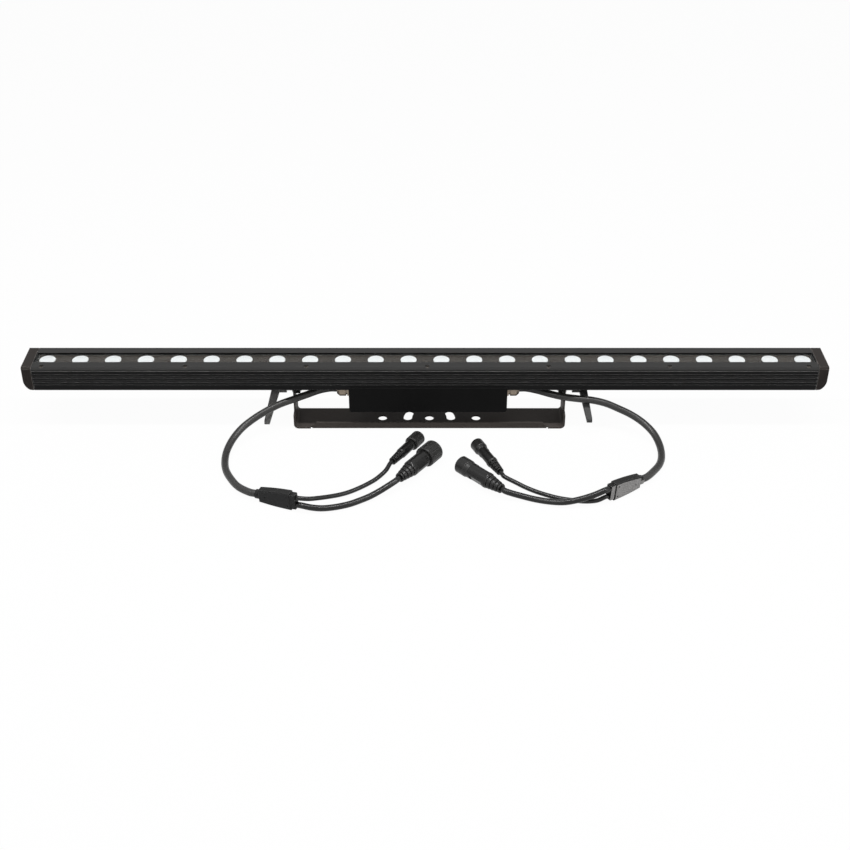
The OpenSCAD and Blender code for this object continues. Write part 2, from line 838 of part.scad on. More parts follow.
function groove_points(i) =
    let (top = groove_top - i * groove_pitch)
    [
        [half_width, top - groove_height],
        [half_width - groove_depth, top - groove_height * (1 - groove_low_share)],
        [half_width, top]
    ];

function flat_list(lists) = [for (l = lists, p = l) p];

module housing_section() {
    grooves = flat_list([for (i = [groove_count - 1 : -1 : 0]) groove_points(i)]);
    right_half = concat(
        [
            [slot_width / 2, slot_lip + slot_height],
            [slot_width / 2, slot_lip],
            [slot_mouth / 2, slot_lip],
            [slot_mouth / 2, 0],
            [half_width - base_chamfer, 0],
            [half_width, base_chamfer]
        ],
        grooves,
        [
            [half_width, wall_top],
            [well_half, wall_top],
            [well_half, panel_bottom],
            [shelf_half, panel_bottom],
            [shelf_half, panel_bottom - shelf_height],
            [channel_half, panel_bottom - shelf_height - shelf_slope],
            [channel_half, base_height],
            [platform_half, base_height],
            [platform_half, platform_top]
        ]
    );
    difference() {
        polygon(mirrored(right_half));
        for (side = [-1, 1], port = [upper_port, lower_port])
            translate([side * port[0], port[1]])
                circle(r = port_radius);
        hook_profile(slide_fit);
    }
}

// Hook of the rear trim, or with a gap the groove that it slides into
module hook_profile(gap) {
    x = half_width - hook_inset;
    translate([x - hook_neck / 2 - gap, wall_top - hook_depth - gap])
        square([hook_neck + 2 * gap, hook_depth + gap + (gap > 0 ? through : 0)]);
    translate([x - hook_head / 2 - gap, wall_top - hook_depth - gap])
        square([hook_head + 2 * gap, hook_head_height + 2 * gap]);
}

module housing() {
    color(anodised) difference() {
        at_bar() along_x(inner_length) housing_section();
        at_bar() for (x = trim_screw_places)
            translate([x, trim_screw_y, wall_top - trim_screw_grip])
                cylinder(r = trim_screw_radius + screw_fit, h = trim_screw_grip + through);
        at_box() box_screw_places() translate([0, 0, -through])
            cylinder(r = box_screw_radius + screw_fit, h = box_screw_grip + 1 + through);
        at_box() translate([wire_way_x, wire_way_y, -through])
            cylinder(r = wire_way_radius, h = base_height + 2 * through);
    }
}

// End caps

module cap_outline() {
    polygon(mirrored([
        [half_width - base_chamfer, 0],
        [half_width, base_chamfer],
        [half_width, bar_height - edge_slope_drop],
        [half_width - edge_slope_width, bar_height]
    ]));
}

module cap_ports() {
    for (side = [-1, 1], port = [upper_port, lower_port])
        translate([0, side * port[0], port[1]])
            children();
}

module end_cap() {
    // Drawn for the right end, with its inner face on X = 0
    round_low = cap_bottom_radius;
    difference() {
        intersection() {
            translate([cap_length / 2, 0, 0])
                along_x(cap_length)
                    cap_outline();
            // Lower end edge rolled under
            along_y(bar_width + through)
                polygon(concat(
                    [[-round_low, bar_height + through], [-round_low, 0]],
                    [for (i = [0 : roll_steps])
                        let (turn = i * 90 / roll_steps)
                        [cap_length - round_low * (1 - sin(turn)), cap_bottom_height * (1 - cos(turn))]],
                    [[cap_length, bar_height + through]]
                ));
            // Upright end edges rounded
            linear_extrude(bar_height)
                union() {
                    translate([-through, -half_width])
                        square([cap_length - cap_side_radius + through, bar_width]);
                    translate([0, -half_width + cap_side_radius])
                        square([cap_length, bar_width - 2 * cap_side_radius]);
                    for (side = [-1, 1])
                        translate([cap_length - cap_side_radius, side * (half_width - cap_side_radius)])
                            circle(r = cap_side_radius);
                }
        }
        cap_ports() {
            x_rod(port_radius + 0.3, -through, cap_length);
            x_rod(cap_head_radius + 0.3, cap_seat, cap_length + through);
        }
    }
}

module at_right_cap() {
    at_bar() translate([inner_length / 2 + end_gasket, 0, 0]) children();
}

module at_left_cap() {
    at_bar() mirror([1, 0, 0]) translate([inner_length / 2 + end_gasket, 0, 0]) children();
}

module left_end_cap() color(cast_black) at_left_cap() end_cap();
module right_end_cap() color(cast_black) at_right_cap() end_cap();

module end_gaskets() {
    inset = 0.5;
    color(rubber_black) {
        at_left_cap() gasket_sheet(inset);
        at_right_cap() gasket_sheet(inset);
    }
}

module gasket_sheet(inset) {
    difference() {
        translate([-end_gasket / 2, 0, 0])
            along_x(end_gasket)
                polygon(mirrored([
                    [half_width - inset - base_chamfer, inset],
                    [half_width - inset, inset + base_chamfer],
                    [half_width - inset, bar_height - edge_slope_drop - inset],
                    [half_width - edge_slope_width - inset, bar_height - inset]
                ]));
        cap_ports()
            x_rod(port_radius + 0.3, -end_gasket - through, through);
    }
}

module end_cap_screws() {
    color(steel) {
        at_left_cap() cap_ports() cap_screw();
        at_right_cap() cap_ports() cap_screw();
    }
}

module cap_screw() {
    difference() {
        union() {
            x_rod(port_radius - screw_fit, -end_gasket - cap_screw_grip, cap_seat + through);
            x_rod(cap_head_radius, cap_seat, cap_seat + cap_head_height);
        }
        x_hex(2.5, cap_seat + cap_head_height - 1.4, cap_length + through);
    }
}

// Trims, glass and lenses

module trim_profile() {
    // Outer edge at +half_width
    polygon([
        [half_width - reveal_depth, wall_top],
        [half_width - reveal_depth, wall_top + reveal_height],
        [half_width, wall_top + reveal_height],
        [half_width, bar_height - edge_slope_drop],
        [half_width - edge_slope_width, bar_height],
        [window_half, bar_height],
        [window_half, glass_top],
        [rebate_half, glass_top],
        [rebate_half, wall_top]
    ]);
}

module front_trim() {
    color(anodised) at_bar() difference() {
        mirror([0, 1, 0])
            along_x(inner_length)
                trim_profile();
        for (x = trim_screw_places)
            translate([x, trim_screw_y, 0]) {
                translate([0, 0, wall_top - through])
                    cylinder(r = trim_screw_radius + 0.3, h = trim_height + 2 * through);
                translate([0, 0, bar_height - trim_recess_depth])
                    cylinder(r = trim_recess_radius, h = trim_recess_depth + through);
            }
    }
}

module rear_trim() {
    color(anodised) at_bar() along_x(inner_length) union() {
        trim_profile();
        hook_profile(0);
    }
}

module trim_screws() {
    seat = bar_height - trim_recess_depth;
    color(brass) at_bar() for (x = trim_screw_places) translate([x, trim_screw_y, 0])
        difference() {
            union() {
                translate([0, 0, wall_top - trim_screw_grip + 1])
                    cylinder(r = trim_screw_radius, h = seat - wall_top + trim_screw_grip);
                translate([0, 0, seat])
                    cylinder(d = trim_head, h = trim_head_height);
            }
            translate([0, 0, seat + trim_head_height - 1.1])
                cylinder(r = 1.3, h = 1.1 + through, $fn = 6);
        }
}

module cover_glass() {
    color(glass_clear) at_bar() translate([-glass_length / 2, -glass_half, glass_bottom])
        cube([glass_length, 2 * glass_half, glass_thickness]);
}

module glass_gasket() {
    color(rubber_black) at_bar() difference() {
        translate([-inner_length / 2, -glass_half, wall_top])
            cube([inner_length, 2 * glass_half, glass_seal]);
        translate([-inner_length / 2 + glass_lap, -well_half, wall_top - through])
            cube([inner_length - 2 * glass_lap, 2 * well_half, glass_seal + 2 * through]);
    }
}

// Counterbored seat of a lens in its panel
lens_seat_floor = wall_top + lens_proud - lens_rim;
lens_seat_radius = lens_diameter / 2 + 0.15;
lens_throat_radius = lens_diameter / 2 - 0.6;

module lens_panel() {
    color(coated_black) at_bar() difference() {
        translate([-inner_length / 2, -panel_half, panel_bottom])
            cube([inner_length, 2 * panel_half, panel_thickness]);
        for (x = lens_places)
            translate([x, 0, 0]) {
                translate([0, 0, panel_bottom - through])
                    cylinder(r = lens_throat_radius, h = panel_thickness + 2 * through);
                translate([0, 0, lens_seat_floor])
                    cylinder(r = lens_seat_radius, h = panel_thickness + through);
            }
    }
}

module lens() {
    // Collimator: a cone of clear plastic with a pocket for the LED underneath
    foot = board_top + 1.1;
    rim_top = wall_top + lens_proud;
    rotate_extrude()
        polygon([
            [3.3, foot],
            [4.3, foot],
            [6.6, foot + 3.4],
            [lens_throat_radius - 0.9, lens_seat_floor - 3],
            [lens_throat_radius - 0.2, lens_seat_floor - 1],
            [lens_throat_radius - 0.2, lens_seat_floor],
            [lens_diameter / 2, lens_seat_floor],
            [lens_diameter / 2, rim_top],
            [lens_diameter / 2 - 1.2, rim_top],
            [lens_diameter / 2 - 1.6, rim_top - 0.4],
            [0, rim_top - 0.4],
            [0, foot + 4.2],
            [3, foot + 3.4]
        ]);
}

module lenses() {
    color(lens_white) at_bar() for (x = lens_places) translate([x, 0, 0]) lens();
}

module led_board() {
    color("white") at_bar() translate([-inner_length / 2 + 1, -led_board_half, platform_top])
        cube([inner_length - 2, 2 * led_board_half, led_board_thickness]);
}

module leds() {
    package = 5;
    height = 1.2;
    dome = 1.9;
    color("gold") at_bar() for (x = lens_places) translate([x, 0, board_top]) {
        translate([-package / 2, -package / 2, 0])
            cube([package, package, 0.9]);
        intersection() {
            translate([0, 0, 0.5])
                sphere(r = dome);
            cylinder(r = package / 2, h = height + dome);
        }
    }
}

// Driver box and what it holds

module box_screw_places() {
    for (x = [-box_post_x, box_post_x], y = [-box_post_y, box_post_y])
        translate([x, y, 0])
            children();
}

module board_screw_places() {
    for (x = [-1, 1], y = [-1, 1])
        translate([
            x * (driver_board_length / 2 - board_hole_inset),
            y * (driver_board_width / 2 - board_hole_inset),
            0
        ])
            children();
}

module box_outline() {
    // Seen from the front, with rounded lower corners
    half = box_length / 2;
    translate([-half, -box_height + box_corner])
        square([box_length, box_height - box_corner + lap_height]);
    translate([-half + box_corner, -box_height])
        square([box_length - 2 * box_corner, box_corner + through]);
    for (side = [-1, 1])
        translate([side * (half - box_corner), -box_height + box_corner])
            circle(r = box_corner);
}

module driver_box() {
    floor_top = -box_height + box_floor;
    color(cast_black) at_box() difference() {
        union() {
            difference() {
                along_y(2 * box_outer_half)
                    box_outline();
                translate([-box_inner_length / 2, -box_inner_half, floor_top])
                    cube([box_inner_length, 2 * box_inner_half, box_height + lap_height]);
                // Rebate that the bar drops into
                translate([-box_length / 2 - through, -box_seat_half, -box_seal])
                    cube([box_length + 2 * through, 2 * box_seat_half, box_seal + lap_height + through]);
            }
            box_screw_places()
                translate([0, 0, floor_top - through])
                    cylinder(r = box_post_radius, h = -floor_top + through);
            board_screw_places()
                translate([0, 0, floor_top - through])
                    cylinder(r = board_boss_radius, h = board_lift + through);
        }
        box_screw_places()
            translate([0, 0, -box_height - through]) {
                cylinder(r = box_screw_radius + 0.2, h = box_height + 2 * through);
                cylinder(r = box_head_radius + 0.3, h = box_head_height + through);
            }
        board_screw_places()
            translate([0, 0, floor_top - 1])
                cylinder(r = board_screw_radius + screw_fit, h = board_lift + 1 + through);
        translate([0, 0, -pivot_drop])
            x_rod(gland_hole, -gland_wall_x - through, gland_wall_x + through);
    }
}

module box_gasket() {
    color(rubber_black) at_box() difference() {
        translate([-box_length / 2 + 0.5, -half_width, -box_seal])
            cube([box_length - 1, bar_width, box_seal]);
        translate([-box_inner_length / 2, -box_inner_half, -box_seal - through])
            cube([box_inner_length, 2 * box_inner_half, box_seal + 2 * through]);
    }
}

module box_screws() {
    color(steel) at_box() box_screw_places() translate([0, 0, -box_height + 0.0]) difference() {
        union() {
            translate([0, 0, 0.3])
                cylinder(r = box_head_radius, h = box_head_height - 0.3);
            translate([0, 0, 0.3])
                cylinder(r = box_screw_radius, h = box_height + box_screw_grip - 0.3);
        }
        translate([0, 0, -through])
            cylinder(r = 1.7, h = through + 1.6, $fn = 6);
    }
}

module driver_board() {
    color(board_green) at_box() difference() {
        translate([-driver_board_length / 2, -driver_board_width / 2, driver_board_top - driver_board_thickness])
            cube([driver_board_length, driver_board_width, driver_board_thickness]);
        board_screw_places()
            translate([0, 0, -box_height])
                cylinder(r = board_screw_radius + 0.2, h = box_height);
    }
}

module board_screws() {
    color(steel) at_box() board_screw_places() {
        translate([0, 0, driver_board_top])
            cylinder(r = 2.3, h = 1.4);
        translate([0, 0, driver_board_top - driver_board_thickness - 4])
            cylinder(r = board_screw_radius, h = driver_board_thickness + 4.5);
    }
}

module driver_parts() {
    color("dimgray") at_box() translate([0, 0, driver_board_top]) {
        // Transformer, two capacitors, bridge with heat spreader, and a terminal block at each end
        translate([-transformer_length / 2, -transformer_width / 2, 0])
            cube([transformer_length, transformer_width, transformer_height]);
        for (y = [-capacitor_y, capacitor_y])
            translate([capacitor_x, y, 0])
                cylinder(r = capacitor_radius, h = capacitor_height);
        translate([spreader_x, -spreader_length / 2, 0])
            cube([spreader_thickness, spreader_length, spreader_height]);
        for (side = [-1, 1])
            translate([side * terminal_x - terminal_length / 2, -terminal_width / 2, 0])
                cube([terminal_length, terminal_width, terminal_height]);
    }
}

module inner_leads() {
    lead_y = wire_way_y;
    bend_height = board_top + lead_radius;
    color("silver") {
        // Cable ends from each gland's seal to its terminal block
        translate([-box_shift, 0, pivot_height])
            both_sides()
                x_rod(main_cable / 2, terminal_x + terminal_length / 2, gland_end - seal_depth);
        // Supply lead through the grommet to the LED board
        at_box() {
            translate([wire_way_x, lead_y, driver_board_top])
                cylinder(r = lead_radius, h = bend_height - driver_board_top);
            translate([wire_way_x, lead_y, bend_height])
                sphere(r = lead_radius);
            translate([wire_way_x, lead_y, bend_height])
                rotate([90, 0, 0])
                    cylinder(r = lead_radius, h = lead_y - led_board_half + 3);
        }
    }
}

module wire_grommet() {
    rim = 1;
    color(rubber_black) at_box() translate([wire_way_x, wire_way_y, 0]) difference() {
        union() {
            cylinder(r = wire_way_radius, h = base_height);
            translate([0, 0, base_height])
                cylinder(r = wire_way_radius + 0.3, h = rim);
        }
        translate([0, 0, -through])
            cylinder(r = lead_radius, h = base_height + rim + 2 * through);
    }
}

// Cable glands. Each is drawn with +X outwards from the driver box's end.

module at_glands() {
    translate([-box_shift, 0, pivot_height])
        both_sides() translate([gland_wall_x, 0, 0])
            children();
}

module gland_bodies() {
    color(brass) at_glands() difference() {
        union() {
            x_hex(gland_hex, 0, gland_flange);
            x_rod(gland_thread / 2, -gland_inner, gland_nut_start);
        }
        x_rod(gland_bore, -gland_inner - through, gland_nut_start + through);
    }
}

module gland_nuts() {
    color(brass) at_glands() difference() {
        intersection() {
            x_hex(gland_nut_hex, gland_nut_start, gland_length);
            x_turned([
                [0, gland_nut_start],
                [gland_nut_hex / 2 + 0.6, gland_nut_start],
                [gland_nut_hex / 2 + 0.6, gland_length - nut_cone],
                [nut_mouth_radius, gland_length],
                [0, gland_length]
            ]);
        }
        x_rod(seal_radius, gland_nut_start - through, gland_length + through);
    }
}

module gland_lock_nuts() {
    color(brass) at_glands() difference() {
        x_hex(lock_nut_hex, -box_wall - lock_nut_thickness, -box_wall);
        x_rod(gland_thread / 2 + screw_fit, -gland_inner - through, 0);
    }
}

module gland_seals() {
    color(rubber_black) at_glands() x_rod(seal_radius, gland_length - seal_depth, gland_length);
}

// Splitters: a flat block that widens from the main cable to the two tails, standing on its long edge

module splitter_face(inset) {
    // Outline seen square to the broad side, the main cable on the left
    steps = 6;
    low = splitter_narrow / 2 - inset;
    rise = (splitter_wide - splitter_narrow) / 2;
    upper = [for (i = [0 : steps])
        [inset + i * (splitter_length - 2 * inset) / steps,
            low + rise * i / steps + splitter_bulge * sin(180 * i / steps)]];
    polygon(concat(upper, [for (i = [steps : -1 : 0]) [upper[i][0], -upper[i][1]]]));
}

module splitter_block() {
    edge = 1.2;
    half = splitter_thickness / 2;
    shoulder_height = splitter_wide - 4;
    difference() {
        union() {
            rotate([90, 0, 0])
                hull() {
                    linear_extrude(2 * (half - edge), center = true)
                        splitter_face(0);
                    linear_extrude(2 * half, center = true)
                        splitter_face(edge);
                }
            x_rod(splitter_neck_radius, -splitter_neck, through);
            translate([splitter_length - through, -half + edge, -shoulder_height / 2])
                cube([splitter_shoulder + through, 2 * (half - edge), shoulder_height]);
        }
        // Three small moulding dimples on each broad side
        for (side = [-1, 1], place = [[9, 0], [splitter_length - 4.5, 6.5], [splitter_length - 4.5, -6.5]])
            translate([place[0], side * half, place[1]])
                rotate([90, 0, 0])
                    cylinder(r = 1.1, h = 1.6, center = true, $fn = 16);
    }
}

module at_splitter(at, turn) {
    translate(at)
        rotate([0, -splitter_tilt, turn])
            children();
}

module left_splitter() color(plastic_black) at_splitter(left_splitter_at, left_splitter_turn) splitter_block();
module right_splitter() color(plastic_black) at_splitter(right_splitter_at, right_splitter_turn) splitter_block();

module left_main_cable() color(rubber_black) cable(left_main_route, main_cable, 12);
module right_main_cable() color(rubber_black) cable(right_main_route, main_cable, 12);
module left_power_tail() color(rubber_black) cable(left_power_route, power_tail, 10);
module right_power_tail() color(rubber_black) cable(right_power_route, power_tail, 10);
module left_data_tail() color(rubber_black) cable(left_data_route, data_tail, 8);
module right_data_tail() color(rubber_black) cable(right_data_route, data_tail, 8);

// Plugs and sockets, drawn along +X from the cable. What repeats is set by five sizes:
// relief length, body start radius, body radius, body end and overall length.

module at_plug(at, turn) {
    translate(at)
        rotate([0, 0, turn])
            children();
}

relief_share = 0.3;
barrel_step = 1.6;
barrel_wall = 1.6;
nut_wall = 2.6;
nut_lip = 2;
flange_gap = 0.4;
cap_bevel = 1.6;
cap_wall = 2.8;
thread_relief = 0.4;
mouth_gap = 0.5;

function ring_points(i, count, length, from, to) =
    let (a = (i + 0.2) * length / count)
    let (b = (i + 0.6) * length / count)
    let (r = from + (to - from) * (i + 0.4) / count)
    [[r, a], [r - 1.3, a + 0.4], [r - 1.3, b], [r, b + 0.4]];

// Moulded body with a ringed strain relief, its barrel reaching into the nut or cap
module plug_body(cable_radius, body_radius, relief, body_end, barrel_radius, barrel_end, flat_depth) {
    rings = 4;
    relief_small = cable_radius + 2;
    relief_large = body_radius - 0.6;
    profile = concat(
        [[0, 0], [relief_small, 0]],
        flat_list([for (i = [0 : rings - 1]) ring_points(i, rings, relief, relief_small, relief_large)]),
        [
            [relief_large, relief],
            [body_radius, relief + 1],
            [body_radius, body_end],
            [barrel_radius, body_end],
            [barrel_radius, barrel_end],
            [0, barrel_end]
        ]
    );
    difference() {
        x_turned(profile);
        // Flat panel on each side of the body
        for (side = [-1, 1])
            rotate([side * 90 - 30, 0, 0])
                translate([relief + 4, -body_radius * 0.62, body_radius - flat_depth])
                    cube([body_end - relief - 8, body_radius * 1.24, body_radius]);
        // Hollow of the barrel
        x_rod(barrel_radius - barrel_wall, barrel_end - 8, barrel_end + through);
    }
}

// Loose nut with grip grooves, held behind by its inward lip. Behind the mouth it is a little wider.
module coupling_nut(radius, barrel_radius, from, to, mouth, grooves) {
    lip_radius = barrel_radius + flange_gap;
    bore = radius - nut_wall;
    edge = 1;
    difference() {
        x_turned([
            [lip_radius, from],
            [radius - edge, from],
            [radius, from + edge],
            [radius, to - edge],
            [radius - edge / 2, to],
            [bore, to],
            [bore, mouth],
            [bore + thread_relief, mouth],
            [bore + thread_relief, from + nut_lip],
            [lip_radius, from + nut_lip]
        ]);
        for (i = [0 : grooves - 1])
            rotate([i * 360 / grooves, 0, 0])
                translate([0, 0, radius + 0.5])
                    x_rod(1.1, from + 3, to - 2.5, $fn = 16);
    }
}

// Closed cap screwed over the barrel
module screw_cap(radius, barrel_radius, from, to) {
    shoulder = 5;
    bore = barrel_radius + flange_gap;
    x_turned([
        [bore, from],
        [radius - cap_bevel, from],
        [radius - 0.4, from + shoulder - 1],
        [radius - 0.4, from + shoulder],
        [radius, from + shoulder + 0.4],
        [radius, to - 1.2],
        [radius - 1.2, to],
        [0, to],
        [0, to - 2.5],
        [bore, to - 2.5]
    ]);
}

power_body_radius = 10;
power_body_end = 51;
power_barrel_radius = 8.4;
power_barrel_end = power_plug_length - 7;
power_relief = power_plug_length * relief_share;
data_body_radius = 6.4;
data_body_end = 43;
data_barrel_radius = 5.2;
data_barrel_end = data_plug_length - 6;
data_relief = data_plug_length * relief_share;
power_socket_radius = 9.8;
power_socket_end = 50;
power_socket_barrel = power_cap_diameter / 2 - cap_wall;
data_socket_radius = 7;
data_socket_end = 47;
data_socket_barrel = data_cap_diameter / 2 - cap_wall;
cap_room = 3;

module left_power_plug()
    color(plastic_black) at_plug(left_power_at, left_power_turn)
        plug_body(power_tail / 2, power_body_radius, power_relief, power_body_end,
            power_barrel_radius, power_barrel_end, 1.4);

module left_data_plug()
    color(plastic_black) at_plug(left_data_at, left_data_turn)
        plug_body(data_tail / 2, data_body_radius, data_relief, data_body_end,
            data_barrel_radius, data_barrel_end, 0.8);

module left_power_nut()
    color(plastic_black) at_plug(left_power_at, left_power_turn)
        coupling_nut(power_nut_diameter / 2, power_barrel_radius,
            power_body_end + flange_gap, power_plug_length, power_barrel_end + mouth_gap, 16);

module left_data_nut()
    color(plastic_black) at_plug(left_data_at, left_data_turn)
        coupling_nut(data_nut_diameter / 2, data_barrel_radius,
            data_body_end + flange_gap, data_plug_length, data_barrel_end + mouth_gap, 12);

module right_power_socket()
    color(plastic_black) at_plug(right_power_at, right_power_turn)
        plug_body(power_tail / 2, power_socket_radius, power_socket_length * relief_share, power_socket_end,
            power_socket_barrel, power_socket_length - cap_room, 1.4);

module right_data_socket()
    color(plastic_black) at_plug(right_data_at, right_data_turn)
        plug_body(data_tail / 2, data_socket_radius, data_socket_length * relief_share, data_socket_end,
            data_socket_barrel, data_socket_length - cap_room, 0.8);

module right_power_cap()
    color(plastic_black) at_plug(right_power_at, right_power_turn)
        screw_cap(power_cap_diameter / 2, power_socket_barrel,
            power_socket_end + flange_gap, power_socket_length);

module right_data_cap()
    color(plastic_black) at_plug(right_data_at, right_data_turn)
        screw_cap(data_cap_diameter / 2, data_socket_barrel,
            data_socket_end + flange_gap, data_socket_length);

// Contacts in the four barrels: three for power, three for data
module pin_set(circle_radius, pin_radius, from, to) {
    for (i = [0 : 2])
        rotate([i * 120, 0, 0])
            translate([0, 0, circle_radius])
                x_rod(pin_radius, from, to);
}

module contact_pins() {
    color(brass) {
        at_plug(left_power_at, left_power_turn)
            pin_set(3.8, 1, power_barrel_end - 8, power_barrel_end - 1);
        at_plug(left_data_at, left_data_turn)
            pin_set(1.9, 0.6, data_barrel_end - 8, data_barrel_end - 1);
        at_plug(right_power_at, right_power_turn)
            pin_set(3.8, 1, power_socket_length - cap_room - 8, power_socket_length - cap_room - 1);
        at_plug(right_data_at, right_data_turn)
            pin_set(1.9, 0.6, data_socket_length - cap_room - 8, data_socket_length - cap_room - 1);
    }
}

module seal_ring(inner, at) {
    x_turned([[inner, at], [inner + 1.2, at], [inner + 1.2, at + 1.8], [inner, at + 1.8]]);
}

module plug_seals() {
    color("orangered") {
        at_plug(left_power_at, left_power_turn)
            seal_ring(power_barrel_radius, power_body_end + flange_gap + nut_lip + 0.6);
        at_plug(left_data_at, left_data_turn)
            seal_ring(data_barrel_radius, data_body_end + flange_gap + nut_lip + 0.6);
    }
}

yoke_bracket();
friction_discs();
arm_washers();
left_lever_handle();
left_lever_stud();
left_lever_screw();
left_lever_spring();
right_lever_handle();
right_lever_stud();
right_lever_screw();
right_lever_spring();
housing();
left_end_cap();
right_end_cap();
end_gaskets();
end_cap_screws();
front_trim();
rear_trim();
trim_screws();
cover_glass();
glass_gasket();
lens_panel();
lenses();
led_board();
leds();
driver_box();
box_gasket();
box_screws();
driver_board();
board_screws();
driver_parts();
inner_leads();
wire_grommet();
pivot_ears();
t_nuts();
ear_screws();
gland_bodies();
gland_nuts();
gland_lock_nuts();
gland_seals();
left_main_cable();
left_splitter();
left_power_tail();
left_data_tail();
left_power_plug();
left_data_plug();
left_power_nut();
left_data_nut();
right_main_cable();
right_splitter();
right_power_tail();
right_data_tail();
right_power_socket();
right_data_socket();
right_power_cap();
right_data_cap();
contact_pins();
plug_seals();
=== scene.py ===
import math
import bpy
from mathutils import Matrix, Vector


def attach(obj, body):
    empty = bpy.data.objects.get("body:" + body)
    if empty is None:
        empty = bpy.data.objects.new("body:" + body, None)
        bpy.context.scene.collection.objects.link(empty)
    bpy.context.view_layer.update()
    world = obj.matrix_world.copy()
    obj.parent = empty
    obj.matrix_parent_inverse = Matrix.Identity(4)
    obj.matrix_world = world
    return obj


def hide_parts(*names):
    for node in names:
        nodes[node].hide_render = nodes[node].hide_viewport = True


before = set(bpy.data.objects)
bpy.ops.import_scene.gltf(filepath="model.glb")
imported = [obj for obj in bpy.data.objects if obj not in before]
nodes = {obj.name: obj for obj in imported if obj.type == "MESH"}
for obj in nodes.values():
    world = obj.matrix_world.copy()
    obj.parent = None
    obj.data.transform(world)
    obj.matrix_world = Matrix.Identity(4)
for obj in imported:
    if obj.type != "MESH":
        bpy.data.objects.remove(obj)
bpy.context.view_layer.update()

scene = bpy.context.scene
scene.view_settings.view_transform = "Standard"

# Lengths are metres and angles are degrees, unless a line says something else.

# Camera, in front of the bar's middle and looking down at it

CAMERA_PLACE, CAMERA_TILT = (-0.0056, -1.4811, 0.9701), 56.521
LENS_MM, SENSOR_MM, CLIP_END = 58.235, 36.0, 50.0

camera_data = bpy.data.cameras.new("camera")
camera_data.sensor_width = SENSOR_MM
camera_data.lens = LENS_MM
camera_data.clip_end = CLIP_END
camera = bpy.data.objects.new("camera", camera_data)
camera.location = CAMERA_PLACE
camera.rotation_euler = (math.radians(CAMERA_TILT), 0.0, 0.0)
scene.collection.objects.link(camera)
scene.camera = camera

# Cables: the routes of part.scad, as smooth tubes

MAIN, POWER, DATA = 0.009, 0.0075, 0.0055  # diameters
SPLITTER_LENGTH, SPLITTER_NECK, SPLITTER_SHOULDER = 0.0425, 0.005, 0.006
TAIL_END_HEIGHT, NECK_END_HEIGHT = 0.023, 0.016
TAIL_STEP = 0.005  # from a splitter's middle up or down to a tail
TILT = math.degrees(math.atan((TAIL_END_HEIGHT - NECK_END_HEIGHT) / 2 / SPLITTER_LENGTH))
TUBE_RESOLUTION = 5
STEPS_PER_STRETCH = 8


def mm(x, y, z):
    return Vector((x, y, z)) / 1000.0


def heading(turn, rise=0.0):
    t, r = math.radians(turn), math.radians(rise)
    return Vector((math.cos(t) * math.cos(r), math.sin(t) * math.cos(r), math.sin(r)))


def neck_face(at, turn):
    return at - SPLITTER_NECK * heading(turn, TILT)


def tail_face(at, turn, side):
    t, r = math.radians(turn), math.radians(TILT)
    upward = Vector((-math.cos(t) * math.sin(r), -math.sin(t) * math.sin(r), math.cos(r)))
    return at + (SPLITTER_LENGTH + SPLITTER_SHOULDER) * heading(turn, TILT) + side * TAIL_STEP * upward


def route(start, way_out, diameter, between, end, way_in):
    """Straight out of the start, through points in millimetres, and straight into the end."""
    return [start, start + diameter * way_out, *[mm(*p) for p in between], end - diameter * way_in, end]


LEFT_SPLITTER, LEFT_TURN = mm(-199.8, -175.4, 8.8), -23.0
RIGHT_SPLITTER, RIGHT_TURN = mm(249, -147.8, 8.8), 217.0
LEFT_POWER, LEFT_POWER_TURN = mm(-36, -148, 13), 55.0
LEFT_DATA, LEFT_DATA_TURN = mm(-45.2, -108, 9), 59.0
RIGHT_POWER, RIGHT_POWER_TURN = mm(85, -167.1, 10.8), 133.0
RIGHT_DATA, RIGHT_DATA_TURN = mm(85, -129.1, 8.4), 114.0
LEFT_EXIT, RIGHT_EXIT = mm(-117.1, 0, 46.6), mm(113.5, 0, 46.6)
TO_LEFT, TO_RIGHT = Vector((-1, 0, 0)), Vector((1, 0, 0))
ALONG_LEFT, ALONG_RIGHT = heading(LEFT_TURN, TILT), heading(RIGHT_TURN, TILT)  # from neck to tails

